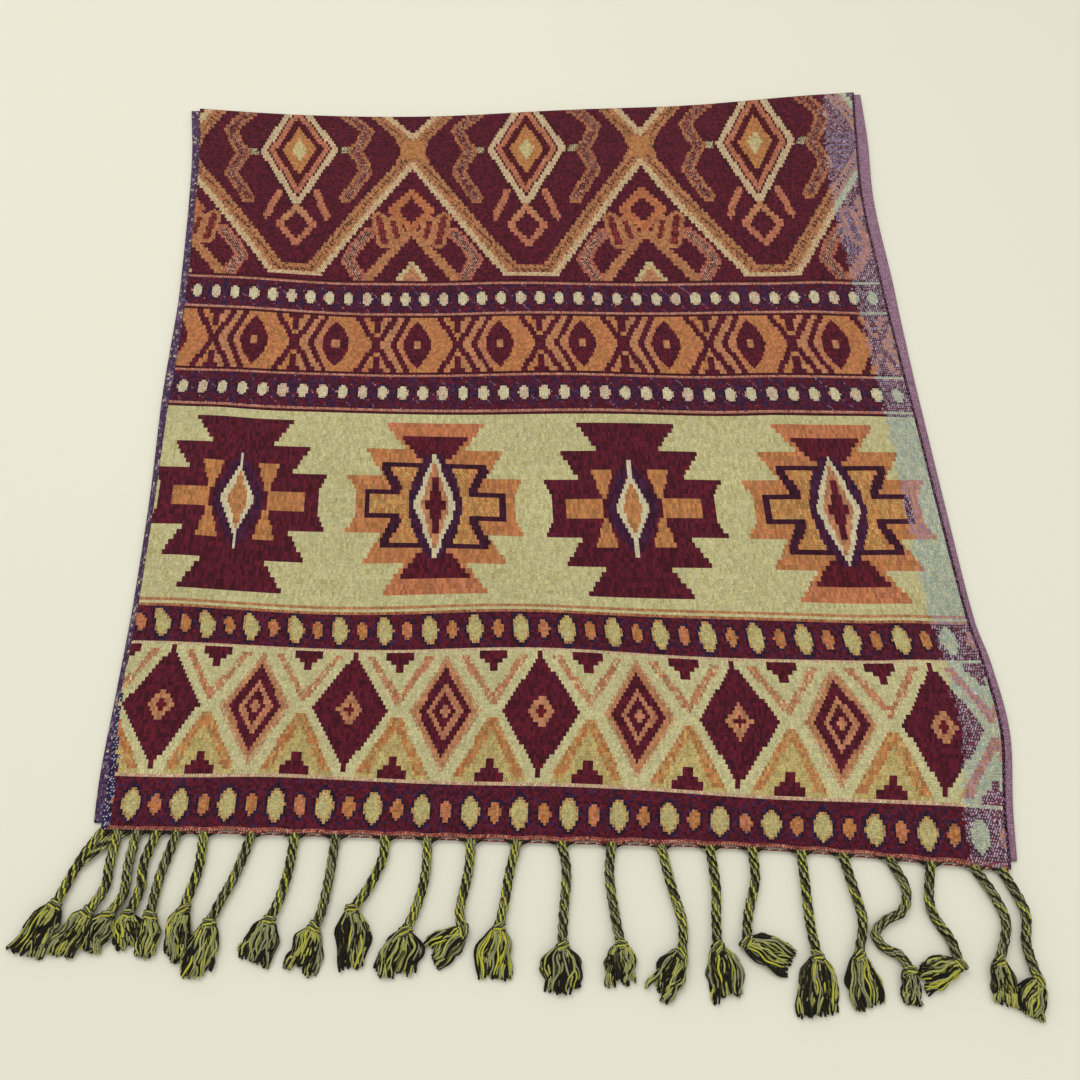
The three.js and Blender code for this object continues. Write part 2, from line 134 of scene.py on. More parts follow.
# The weave's cells, one stitch of the pattern each: how many across, and from the hem up, where
# each band ends along the warp and how many rows it has. The thin lines that part the bands are a
# row each, and have a yarn, the yarn that flecks it and that one's share of the threads.
CELLS_ACROSS = 340
STITCH_ROWS = [
    (2.8, 1, "rust", "rose", 0.3),
    (42.0, 18),  # ovals
    (44.8, 1, "rose", "cream", 0.45),
    (155.2, 30),  # diamonds
    (157.8, 1, "cream", "rose", 0.35),
    (189.0, 14),  # ovals
    (191.4, 1, "tan", "rust", 0.4),
    (193.8, 1, "green", "cream", 0.4),
    (196.4, 1, "tan", "pink", 0.2),
    (392.4, 40),  # medallions
    (395.2, 1, "dark", "burgundy", 0.4),
    (398.0, 1, "rose", "rust", 0.35),
    (434.6, 17),  # dots
    (437.2, 1, "rose", "rust", 0.35),
    (439.8, 1, "dark", "burgundy", 0.4),
    (505.4, 28),  # eyes
    (508.0, 1, "dark", "burgundy", 0.4),
    (510.8, 1, "rose", "rust", 0.3),
    (543.8, 15),  # dots
    (546.6, 1, "rose", "rust", 0.35),
    (549.4, 1, "dark", "burgundy", 0.4),
    (LENGTH - FOLD_RADIUS, 98),  # hexagons
]
THREAD_WIDTH, THREAD_HEIGHT = 1.03, 1.15  # of the single threads that the shader weaves
FOLD_STEPS = 6

# Yarn colours, sRGB.
YARNS = {
    "burgundy": (91, 19, 29),
    "plum": (64, 19, 44),
    "navy": (42, 34, 72),
    "dark": (42, 12, 22),
    "orange": (182, 112, 62),
    "tan": (172, 126, 80),
    "pink": (184, 118, 92),
    "copper": (168, 101, 72),
    "rose": (186, 136, 116),
    "rust": (142, 66, 56),
    "green": (184, 180, 128),
    "straw": (182, 158, 96),
    "cream": (200, 190, 146),
    "white": (202, 190, 162),
    "lavender": (132, 118, 146),
    "mist": (162, 156, 166),
    "mauve": (162, 126, 146),
    "mauve_dark": (116, 82, 106),
    "sage": (154, 169, 160),
    "black": (24, 21, 12),
    "moss": (74, 72, 42),
    "chartreuse": (160, 160, 88),
    "lime": (178, 176, 60),
    "grey_green": (134, 136, 102),
}
DICE = np.random.default_rng(1656)

# ---------------- how the cloth lies


def smooth(stations, values, t):
    """A smooth curve through values, or through rows of values, at each t."""
    stations, values = np.asarray(stations, float), np.asarray(values, float)
    t = np.atleast_1d(np.asarray(t, float))
    last = len(stations) - 1
    tail = (-1,) + (1,) * (values.ndim - 1)
    before = np.maximum(np.arange(last + 1) - 1, 0)
    after = np.minimum(np.arange(last + 1) + 1, last)
    slopes = (values[after] - values[before]) / (stations[after] - stations[before]).reshape(tail)
    i = np.clip(np.searchsorted(stations, t, side="right") - 1, 0, last - 1)
    span = (stations[i + 1] - stations[i]).reshape(tail)
    f = (t - stations[i]).reshape(tail) / span
    f2, f3 = f ** 2, f ** 3
    return ((2 * f3 - 3 * f2 + 1) * values[i] + (f3 - 2 * f2 + f) * span * slopes[i]
            + (3 * f2 - 2 * f3) * values[i + 1] + (f3 - f2) * span * slopes[i + 1])


def lay_out(across, along):
    """Where the cloth lies: two grids, x and y, with a row for each along (mm) and a column for
    each across (0 to 1)."""
    heights = smooth(QUARTERS, QUARTER_Y.T, across)
    y = smooth(LINE_S, heights.T, along)
    left = smooth(LINE_S, LEFT, along)[:, None]
    right = smooth(LINE_S, RIGHT, along)[:, None]
    return left + (right - left) * np.atleast_1d(across)[None, :], y


def swell(x, y):
    """How far the cloth stands above its flat level."""
    rise = np.zeros_like(x)
    for ridge_x, ridge_y, turn, reach, half, height in SWELLS:
        cos, sin = math.cos(math.radians(turn)), math.sin(math.radians(turn))
        lengthwise = (x - ridge_x) * cos + (y - ridge_y) * sin
        crosswise = (y - ridge_y) * cos - (x - ridge_x) * sin
        rise += height * np.exp(-(lengthwise / reach) ** 2 - (crosswise / half) ** 2)
    return rise


def bed_height(x, y, along):
    """The top of the lower layers, which the upper leaf lies on."""
    along = along[:, None]
    droop = np.where(along < DROOP_REACH, HEM_DROOP * (1 - along / DROOP_REACH) ** 2, 0)
    ease = np.clip((LENGTH - along) / SWELLS_END, 0, 1)
    return UNDER_THICKNESS - droop + swell(x, y) * ease ** 2 * (3 - 2 * ease)


# ---------------- meshes


def linear(colour):
    """A yarn's colour as linear light."""
    share = np.asarray(YARNS[colour] if isinstance(colour, str) else colour, float) / 255
    return np.where(share <= 0.04045, share / 12.92, ((share + 0.055) / 1.055) ** 2.4)


def grid_faces(rows, columns, closed=False):
    """Quads of a grid of points, row by row; closed joins its last column to its first."""
    width = columns if closed else columns - 1
    r, c = np.meshgrid(np.arange(rows - 1), np.arange(width), indexing="ij")
    beside = (c + 1) % columns
    quads = [r * columns + c, r * columns + beside, (r + 1) * columns + beside, (r + 1) * columns + c]
    return np.stack(quads, axis=-1).reshape(-1, 4)


def add_object(name, data):
    added = bpy.data.objects.new(name, data)
    bpy.context.scene.collection.objects.link(added)
    return added


def make_piece(name, points, quads, colours, flecks=None, threads=None):
    """A mesh piece in the frame. colours has a linear colour for each quad, flecks the colour
    of its second yarn and that one's share, and threads says how far across and along the cloth
    each point is, in millimetres."""
    mesh = bpy.data.meshes.new(name)
    mesh.vertices.add(len(points))
    mesh.vertices.foreach_set("co", ((points - LAID_CENTRE) * MM).astype(np.float32).ravel())
    mesh.loops.add(quads.size)
    mesh.loops.foreach_set("vertex_index", quads.astype(np.int32).ravel())
    mesh.polygons.add(len(quads))
    mesh.polygons.foreach_set("loop_start", np.arange(0, quads.size, 4, dtype=np.int32))
    mesh.polygons.foreach_set("loop_total", np.full(len(quads), 4, dtype=np.int32))
    plain = np.concatenate([colours, np.ones((len(colours), 1))], axis=1)
    for layer_name, values in (("yarn", plain), ("fleck", flecks)):
        if values is not None:
            layer = mesh.attributes.new(layer_name, "FLOAT_COLOR", "CORNER")
            layer.data.foreach_set("color", np.repeat(values, 4, axis=0).astype(np.float32).ravel())
    if threads is not None:
        layer = mesh.uv_layers.new(name="Threads")
        layer.data.foreach_set("uv", threads[quads.ravel()].astype(np.float32).ravel())
    mesh.update(calc_edges=True)
    mesh.validate()
    mesh.shade_smooth()
    piece = add_object(name, mesh)
    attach(piece, "root")
    return piece


# ---------------- the woven pattern

# How far the warp is drawn towards the right at each side, where the bands were spread by hand:
# how far along it, and by how much.
PULLED_LEFT = [(0, 7), (20, 8), (100, 10), (175, 13.5), (192, 4), (385, 4), (416, 7), (527, 6.5),
               (790, 4)]
PULLED_RIGHT = [(0, 11), (385, 11), (430, 8.5), (700, 7), (790, 5)]
PULL_LEFT_ENDS, PULL_RIGHT_STARTS, PULL_RIGHT_REACH = 300, 420, 260
PULL_EASE = 1.3

# Mixes that come back: a yarn, the yarn that flecks it and that one's share of the threads.
DEEP = ("burgundy", "plum", 0.35)
DEEP_SMALL = ("burgundy", "plum", 0.3)  # for small figures
PALE = ("green", "cream", 0.4)


def pulled(across, s):
    """How far each place of the warp is drawn towards the right."""
    from_left = np.clip(1 - across / PULL_LEFT_ENDS, 0, 1)
    to_right = np.clip((across - PULL_RIGHT_STARTS) / PULL_RIGHT_REACH, 0, 1)
    return (np.interp(s, *zip(*PULLED_LEFT)) * from_left ** PULL_EASE
            + np.interp(s, *zip(*PULLED_RIGHT)) * to_right ** PULL_EASE)


def within(value, low, high):
    return (value >= low) & (value < high)


class Chart:
    """The cloth's weave: for each cell, p across and s along in millimetres, its yarn, and the
    yarn that flecks it with its share."""

    def __init__(self, p, s):
        self.across, self.s = np.meshgrid(p, s)
        self.p = self.across - pulled(self.across, self.s)
        self.rows, self.columns = np.indices(self.p.shape)
        self.dice = DICE.random(self.p.shape)
        self.colours = np.zeros(self.p.shape + (3,))
        self.flecks = np.zeros(self.p.shape + (4,))

    def weave(self, inside, *layers):
        """Weaves layers, each over the last: which of the cells inside it takes, its yarn, and
        the yarn that flecks it with its share."""
        for where, yarn, fleck, share in layers:
            cells = inside & where
            self.colours[cells] = linear(yarn)
            self.flecks[cells] = [*linear(fleck), share]

    def band(self, low, high):
        return within(self.s, low, high)

    def from_middle(self, first, pitch, middle):
        """Distances across and along from the nearest of a row of repeats."""
        x = (self.p - first + pitch / 2) % pitch - pitch / 2
        return x, self.s - middle

    def count_from(self, first, pitch):
        return np.floor((self.p - first + pitch / 2) / pitch).astype(int)


def near_line(x, t, points):
    """How far each cell is from a line through points."""
    nearest = np.full(x.shape, np.inf)
    for (x0, t0), (x1, t1) in zip(points, points[1:]):
        run, rise = x1 - x0, t1 - t0
        share = np.clip(((x - x0) * run + (t - t0) * rise) / (run * run + rise * rise), 0, 1)
        nearest = np.minimum(nearest, np.hypot(x - x0 - share * run, t - t0 - share * rise))
    return nearest


def oval(x, t, half_width, half_height, roundness=1.6):
    """0 in the middle of an oval and 1 on its edge, slightly pointed where roundness is below 2."""
    return (np.abs(x) / half_width) ** roundness + (np.abs(t) / half_height) ** roundness


def weave_oval(chart, r, yarn, fleck):
    """An oval set off by a dark rim and softened by threads of the ground."""
    chart.weave(
        r < 1.5,
        (r >= 1.0, "dark", "navy", 0.35),
        (r < 1.0, yarn, "copper", 0.4),
        (r < 0.75, yarn, fleck, 0.4),
    )


def weave_dark_ground(chart, inside):
    """Burgundy flecked with plum and, in places, with navy."""
    chart.weave(
        inside,
        (True, "burgundy", "plum", 0.4),
        (chart.dice > 0.6, "burgundy", "navy", 0.25),
        (chart.dice > 0.92, "plum", "navy", 0.5),
    )


OVAL_PITCH = 38.55
DOT_PITCH = 19.3
DOT_HALVES = (5.14, 7.9)  # half a dot's width and height
DOT_ROUNDNESS = 1.85


def weave_oval_row(chart, low, high, first, middle, large, small):
    """Large pale ovals and small orange ones by turns on a dark ground."""
    weave_dark_ground(chart, chart.band(low, high))
    r = oval(*chart.from_middle(first, OVAL_PITCH, middle), *large)
    weave_oval(chart, r, "straw", "green")
    chart.weave(r < 0.45, (True, "green", "straw", 0.35))
    between = first + OVAL_PITCH / 2
    r = oval(*chart.from_middle(between, OVAL_PITCH, middle), *small)
    weave_oval(chart, r, "orange", "tan")
    reddish = chart.count_from(between, OVAL_PITCH) % 3 == 0
    chart.weave(reddish, (r < 0.8, "pink", "orange", 0.45))


def weave_dot_row(chart, low, high, first, middle):
    """A row of small pale ovals on a dark ground flecked with navy."""
    inside = chart.band(low, high)
    x, t = chart.from_middle(first, DOT_PITCH, middle)
    between_dots = np.abs(np.abs(x) - 9.6) < 3.2
    slant = (chart.rows + chart.columns) % 11 == 0
    weave_dark_ground(chart, inside)
    chart.weave(
        inside,
        (between_dots & (chart.dice > 0.4), "plum", "navy", 0.5),
        (slant & (chart.dice > 0.3), "burgundy", "lavender", 0.22),
    )
    r = oval(x, t, *DOT_HALVES, DOT_ROUNDNESS)
    weave_oval(chart, r, "white", "cream")
    pinkish = chart.count_from(first, DOT_PITCH) % 4 == 1
    chart.weave(pinkish, (r < 0.8, "white", "rose", 0.3))


def weave_diamond_band(chart):
    """Tall diamonds by turns solid and concentric, between zigzag lines and small pyramids."""
    pitch, step, middle = 77.46, 3.68, 101.84
    first = 333.8 - 4 * pitch
    inside = chart.band(44.8, 155.2)
    x, t = chart.from_middle(first, pitch, middle)
    width, height = np.abs(x), np.abs(t)
    solid = chart.count_from(first, pitch) % 2 == 0
    outline = width / 31.5 + height / 51.5
    chart.weave(
        inside,
        (True, *PALE),
        (chart.s < 96, "straw", "green", 0.25),
        (outline < 1.36, "cream", "green", 0.45),
    )
    heart = width / 10.6 + height / 15.2
    chart.weave(
        inside & solid,
        (outline < 1, *DEEP),
        ((width < 2.2) & (height < 53), *DEEP_SMALL),
        (heart < 1, "tan", "pink", 0.5),
        (heart < 0.4, "burgundy", "burgundy", 0),
    )
    ring = width / 28.4 + height / 50.5
    chart.weave(
        inside & ~solid & (ring < 1.02),
        (ring > 0.77, "tan", "pink", 0.4),
        (ring > 0.93, "pink", "green", 0.5),
        (ring <= 0.77, *DEEP),
        (within(ring, 0.33, 0.49), "pink", "tan", 0.3),
        (ring < 0.14, "pink", "tan", 0.3),
    )

    x, t = chart.from_middle(first + pitch / 2, pitch, middle)
    width = np.abs(x)
    vees = inside & within(t, 7, 51) & (np.abs(width - (t - 9) * 0.62) < 3.7)
    chart.weave(vees, (True, "tan", "cream", 0.4), (chart.dice > 0.4, "pink", "tan", 0.4))
    roofs = inside & within(t, -55, -6) & (np.abs(width - (-7 - t) * 0.52) < 4.4)
    chart.weave(roofs, (True, "tan", "straw", 0.4), (chart.dice > 0.4, "orange", "tan", 0.4))
    for level, half in enumerate((11.6, 7.4, 3.4)):
        rows_in = 1.5 * step * level
        top = within(t, 47.2 - rows_in, 52.6 - rows_in)
        bottom = (t > -56.6 + rows_in) & (t <= -51.2 + rows_in)
        chart.weave(inside & (top | bottom), (width < half, *DEEP_SMALL))


TIER = 4.9  # a row of the medallions


def medallion_half_width(level):
    """Half a medallion's width at each row from its middle: three tiers, each flaring outwards."""
    centre = 71.5 + 2.5 * np.maximum(level - 2, 0)
    shoulder = 48 + 2.8 * (level - 6)
    crown = 28.5 + 3.3 * (level - 12)
    half = np.where(level < 6, centre, np.where(level < 12, shoulder, crown))
    return np.where(level < 18, half, 0)


def weave_medallion_band(chart):
    """Four stepped medallions, by turns dark and orange, on a pale ground."""
    first, pitch, middle = 70.2, 176.9, 294.4
    inside = chart.band(193.8, 392.4)
    chart.weave(inside, (True, *PALE), (chart.dice > 0.85, "green", "straw", 0.3))
    x, t = chart.from_middle(first, pitch, middle)
    width, height = np.abs(x), np.abs(t)
    level = np.floor(height / TIER)
    body = inside & (width < medallion_half_width(level))
    odd = chart.count_from(first, pitch) % 2 == 1
    weave_dark_medallion(chart, body & ~odd, width, height, level)
    weave_light_medallion(chart, body & odd, width, height, level)


def weave_dark_medallion(chart, body, width, height, level):
    """Burgundy, with orange arms and cups, and a pale diamond in a dark lens."""
    cup = within(level, 2, 8) & (np.abs(width - 25) < 2.6 + (level - 2) * 1.35)
    chart.weave(
        body,
        (True, *DEEP),
        ((width < 22.5 * (1 - (height / 50) ** 1.6)) & (height < 50), "plum", "navy", 0.12),
        (within(width, 26, 60) & (level < 2), "orange", "tan", 0.5),
        (cup, "tan", "orange", 0.5),
        ((width < 14.6 - 2.1 * level) & (level < 7), "white", "cream", 0.4),
        ((width < 8.4 - 1.5 * level) & (level < 6), "tan", "orange", 0.4),
        ((width < 1.5) & within(level, 6, 10), "white", "white", 0),
    )


def weave_light_medallion(chart, body, width, height, level):
    """Orange, with dark crowns, an outlined cross, and a pale diamond in a dark lens."""
    crown = within(level, 10, 15) & (width < 16.6 + (level - 10) * 3.35)
    arm = within(width, 31, 63) & (level < 3)
    bar = (level == 8) & (width < 48)
    slope = within(level, 3, 8) & (np.abs(width - 34.5 - 2.4 * (level - 3)) < 4.6)
    cup = within(level, 2, 8) & (np.abs(width - 25.5) < 3.6 + (level - 3) * 1.5)
    core = (width < 3.4) & (height < 29) | (width < 5.6) & (height < 15) | (width < 9) & (height < 5)
    chart.weave(
        body,
        (True, "orange", "tan", 0.45),
        ((level >= 15) | (chart.dice > 0.7), "orange", "pink", 0.45),
        (crown, *DEEP_SMALL),
        (arm, "plum", "dark", 0.4),
        (within(width, 18, 58) & (level < 2), "orange", "straw", 0.35),
        (bar | slope, "plum", "dark", 0.4),
        (cup, "orange", "straw", 0.35),
        ((width < 24 * (1 - (height / 62) ** 2)) & (height < 54), "plum", "navy", 0.12),
        ((width < 18.6 - 1.7 * level) & (level < 11), "white", "cream", 0.4),
        ((width < 12.4 - 1.3 * level) & (level < 9), "tan", "pink", 0.5),
        (core, *DEEP_SMALL),
    )


def weave_eye_band(chart):
    """Almond eyes between crossed bars and chevrons."""
    pitch, middle, tread = 80.85, 472.6, 4.69
    first = 309.2 - 3 * pitch
    field = chart.band(439.8, 505.4)
    x, t = chart.from_middle(first, pitch, middle)
    width, height = np.abs(x), np.abs(t)
    chart.weave(
        field,
        (True, "orange", "tan", 0.5),
        (within(x, 9, 34) & (chart.dice > 0.5), "orange", "pink", 0.35),
        (x < -9, "tan", "pink", 0.5),
        ((width < 17 * (1 - (height / 33) ** 1.8)) & (x < 0), "pink", "orange", 0.4),
        (width < 13.6 * (1 - (height / 28) ** 1.8), *DEEP),
        ((width < 3.4) & (height < 5.5), "tan", "pink", 0.4),
    )
    x, t = chart.from_middle(first + pitch / 2, pitch, middle)
    width = np.abs(x)
    height = np.floor(np.abs(t) / tread) * tread + 2.3
    cross = np.abs(width - 0.57 * height) < 3.5
    knot = (height < 3.6) & within(x, -5.5, 4)
    notch = (width < 3.4) & (height > 15.5) | (height > 27) & (width < 7)
    chevron = np.abs(x - 15.6 - 0.47 * height) < 3.0
    chart.weave(field, (cross | knot | notch | chevron, *DEEP))


HEXAGON_PITCH = 242.0
HEXAGON_WAIST = 727.0  # where the hexagons meet, along the warp
TOP_BAND_STARTS = 549.4
TOP_BAND_TREAD = 4.84  # its figures step by two rows
FIRST_TREAD = 551.8

# The hooked bands beside each big diamond, from its middle, and the short bars under it.
HOOK = [(47, 62), (62, 47), (73, 31), (66, 9), (59, -2), (67, -20), (72, -34), (62, -53), (52, -72)]
SHORT_BAR = [(20, -63), (26, -80), (32, -97)]

# The hooked figures between the hexagons, from where those meet: the line of each loop, half its
# width and half its hollow's, and the strip beside them.
LOOPS = [
    ([(19, 625), (15, 606)], 8.6, 2.9),
    ([(34, 630), (28, 598)], 8.0, 3.6),
]
STRIP = [(44, 610), (57, 593), (66, 575), (54, 554)]


def weave_top_band(chart):
    """Hexagons that hold a big stepped diamond each, with hooked figures between them."""
    first, middle = 101.5, 729.5
    inside = chart.band(TOP_BAND_STARTS, LENGTH + 20)
    chart.weave(inside, (True, *DEEP))
    x, _ = chart.from_middle(first, HEXAGON_PITCH, middle)
    width = np.abs(x)
    s = np.floor((chart.s - TOP_BAND_STARTS) / TOP_BAND_TREAD) * TOP_BAND_TREAD + FIRST_TREAD
    weave_between_hexagons(chart, inside, HEXAGON_PITCH / 2 - width, s)
    weave_hexagon(chart, inside, width, s)
    weave_hooks(chart, inside, width, s - middle)
    weave_big_diamond(chart, inside, width, s - middle)


def weave_hexagon(chart, inside, width, s):
    """The lattice: a cream edge and a tan band with a dotted line along it."""
    from_waist = np.abs(s - HEXAGON_WAIST)
    folded = HEXAGON_WAIST - from_waist
    outer = 27 + 0.65 * (folded - 554.5)
    inner = np.minimum(outer - 23, HEXAGON_PITCH / 2 - 12.5 - 0.3 * from_waist)
    body = inside & (width < outer) & (s > 555)
    depth = np.minimum(outer - width, (s - 552) * 1.6)
    junction = (width > HEXAGON_PITCH / 2 - 11) & (from_waist < 15)
    dots = within(depth, 13.6, 17.8) & ((chart.rows + chart.columns) % 3 != 0)
    chart.weave(body, (True, *DEEP))
    chart.weave(
        body & ((width > inner) | (s < 568.5)),
        (True, "tan", "copper", 0.4),
        (chart.dice > 0.85, "tan", "dark", 0.4),
        (junction, "orange", "tan", 0.5),
        ((depth < 8.0) & (folded < 714), "cream", "pink", 0.35),
        (dots & ~junction, "dark", "copper", 0.45),
    )


def weave_hooks(chart, inside, width, t):
    """The hooked bands, their links to the big diamond and the short bars."""
    link = (np.abs(t + 1) < 7) & within(width, 40, 58)
    away = near_line(width, t, HOOK)
    chart.weave(
        inside,
        (link, "cream", "dark", 0.5),
        (away < 7.0, "tan", "rust", 0.45),
        (away < 3.8, "rust", "dark", 0.5),
        ((away < 3.8) & (chart.dice > 0.5), "rose", "dark", 0.5),
        (near_line(width, t, SHORT_BAR) < 3.7, "copper", "pink", 0.4),
    )


def weave_big_diamond(chart, inside, width, t):
    """Rings of cream, dark, pink and burgundy round a pale core, and the small diamond below."""
    r = width / 41.5 + np.abs(t) / 85
    below = t + 108
    small = width / 22.5 + np.abs(below) / 31
    rim = (small < 1) & (small > 0.62)
    chart.weave(
        inside,
        (r < 1.1, "dark", "burgundy", 0.5),
        (r < 1.02, "cream", "rose", 0.4),
        (r < 0.84, "dark", "burgundy", 0.5),
        (r < 0.79, "copper", "pink", 0.4),
        (r < 0.63, "burgundy", "dark", 0.3),
        (r < 0.44, "tan", "orange", 0.5),
        (r < 0.2, "straw", "cream", 0.5),
        (small <= 0.62, *DEEP),
        (rim, "tan", "pink", 0.5),
        (rim & (below < 4), "copper", "pink", 0.4),
    )


def weave_between_hexagons(chart, inside, beside, s):
    """The triangle below each place where two hexagons meet."""
    low = inside & (s < 700)
    legs = within(beside, (606 - s) * 0.71, (621 - s) * 0.75) & (s < 622)
    chart.weave(low, (legs, "copper", "tan", 0.5))
    for line, half, hollow in LOOPS:
        away = near_line(beside, chart.s, line)
        chart.weave(low, (away < half, "copper", "tan", 0.4), (away < hollow, "burgundy", "rust", 0.3))
    r = beside / 24.5 + np.abs(s - 641) / 30
    strip = near_line(beside, s, STRIP)
    tent = (576 - s) * 0.66
    chart.weave(
        low,
        (r < 1.04, "copper", "orange", 0.4),
        (r < 0.58, *DEEP_SMALL),
        (strip < 7.0, "pink", "rust", 0.4),
        (strip < 3.8, "dark", "rose", 0.5),
        (beside < tent, "cream", "tan", 0.4),
        ((beside < tent - 6) & (s < 567), "tan", "pink", 0.5),
    )


def weave_lines(chart):
    """The thin lines that part the bands."""
    low = 0.0
    for high, _, *mix in STITCH_ROWS:
        if mix:
            chart.weave(chart.band(low, high), (True, *mix))
        low = high


def tint_side_stripe(chart):
    """The warp stripe at the right selvedge, where bluish and mauve warp shows through."""
    from_edge = WIDTH - chart.across
    stripe = from_edge < 31 + 3 * np.sin(chart.s / 90) + 5 * (chart.dice - 0.5)
    brightness = chart.colours.sum(axis=2)
    pale = stripe & (brightness > linear("straw").sum() * 0.95)
    deep = stripe & (brightness < linear("mauve_dark").sum())
    tints = [
        # where, towards, how far, fleck, share
        (pale, "sage", 0.85, "cream", 0.2),
        (stripe & ~pale & ~deep, "rose", 0.7, "lavender", 0.3),
        (deep, "mauve_dark", 0.35, "mist", 0.28),
    ]
    for where, towards, far, fleck, share in tints:
        colour = chart.colours[where]
        chart.colours[where] = colour + (linear(towards) - colour) * far
        chart.flecks[where] = [*linear(fleck), share]
    ribbed = deep & chart.band(690, 735) & (chart.rows % 3 == 0)
    corded = deep & chart.band(575, 640) & (chart.columns % 3 == 0)
    left_corner = chart.across + 3 * chart.dice < 7 * np.clip((130 - chart.s) / 90, 0, 1)
    chart.weave(
        True,
        (ribbed | corded, "lavender", "plum", 0.2),
        # The last column at the right selvedge is woven dark: a dark edge thread, painted darker as the
        # shadow line where the leaf's edge stands over the lower leaf.
        (from_edge < 2.2, "dark", "mauve_dark", 0.3),
        (left_corner, "navy", "mist", 0.22),
    )


# Dark yarns show their unevenness more than pale ones.
UNEVEN_BRIGHTNESS = [0.12, 0.7, 1.15]
UNEVEN_DEPTH = [1.0, 0.55, 0.24]


def weave(p, s):
    """Colours and flecks of the whole chart, a row for each s."""
    chart = Chart(p, s)
    weave_oval_row(chart, 2.8, 42, 243.8, 20.8, (7.4, 13.0), (4.9, 8.8))
    weave_diamond_band(chart)
    weave_oval_row(chart, 157.8, 189, 319.1, 174.4, (7.0, 12.8), (4.6, 8.4))
    weave_medallion_band(chart)
    weave_dot_row(chart, 398, 434.6, 312.1, 416.3)
    weave_eye_band(chart)
    weave_dot_row(chart, 510.8, 543.8, 312.5, 527.3)
    weave_top_band(chart)
    weave_lines(chart)
    tint_side_stripe(chart)
    depth = np.interp(chart.colours.sum(axis=2), UNEVEN_BRIGHTNESS, UNEVEN_DEPTH)
    uneven = 1 + depth * (DICE.random(chart.p.shape) - 0.5)
    chart.flecks[..., :3] *= uneven[..., None]
    return chart.colours * uneven[..., None], chart.flecks


# ---------------- materials


class Shader:
    """A material's nodes, with short ways to add and join them."""

    def __init__(self, name):
        self.material = bpy.data.materials.new(name)
        self.material.use_nodes = True
        self.tree = self.material.node_tree
        self.surface = self.tree.nodes["Principled BSDF"]

    def join(self, source, socket):
        if isinstance(source, (int, float, tuple)):
            socket.default_value = source
        else:
            self.tree.links.new(source, socket)

    def add(self, kind, output, inputs, **settings):
        """An output of a new node, with what goes into its sockets and its settings."""
        node = self.tree.nodes.new("ShaderNode" + kind)
        for name, value in settings.items():
            setattr(node, name, value)
        for socket, source in inputs.items():
            self.join(source, node.inputs[socket])
        return node.outputs[output]

    def math(self, operation, *values):
        return self.add("Math", 0, dict(enumerate(values)), operation=operation)

    def times(self, result, *factors):
        for factor in factors:
            result = self.math("MULTIPLY", result, factor)
        return result

    def plus(self, result, *terms):
        for term in terms:
            result = self.math("ADD", result, term)
        return result

    def mound(self, value, power):
        """From 0 up to 1 and down again for each whole value."""
        wave = self.math("ABSOLUTE", self.math("SINE", self.times(value, math.pi)))
        return self.math("POWER", wave, power)

    def place(self):
        return self.add("TexCoord", "Object", {})

    def noise(self, vector, scale, detail, roughness):
        inputs = {"Vector": vector, "Scale": scale, "Detail": detail, "Roughness": roughness}
        return self.add("TexNoise", "Fac", inputs)

    def between(self, value, low, high):
        """A value from 0 to 1 spread from low to high."""
        return self.add("MapRange", "Result", {"Value": value, "To Min": low, "To Max": high})

    def dimmed(self, colour, factor):
        return self.add("VectorMath", 0, {0: colour, "Scale": factor}, operation="SCALE")

    def layer(self, name):
        """The colour that the mesh holds under a name; its node has the share as Alpha."""
        return self.add("Attribute", "Color", {}, attribute_name=name)

    def mixed(self, factor, first, second):
        return self.add("Mix", 2, {0: factor, 6: first, 7: second}, data_type="RGBA")

    def scatter(self, x, y):
        """A random value for each whole x and y."""
        place = self.add("CombineXYZ", 0, {"X": x, "Y": y})
        return self.add("TexWhiteNoise", "Value", {"Vector": place}, noise_dimensions="2D")

    def bump(self, height, distance, strength):
        inputs = {"Strength": strength, "Distance": distance, "Height": height}
        self.join(self.add("Bump", "Normal", inputs), self.surface.inputs["Normal"])

    def finish(self, colour, roughness, sheen):
        inputs = {
            "Base Color": colour,
            "Roughness": roughness,
            "Specular IOR Level": 0.12,
            "Sheen Weight": sheen,
            "Sheen Roughness": 0.6,
            "Sheen Tint": (1, 0.95, 0.88, 1),
        }
        for socket, source in inputs.items():
            self.join(source, self.surface.inputs[socket])
        return self.material


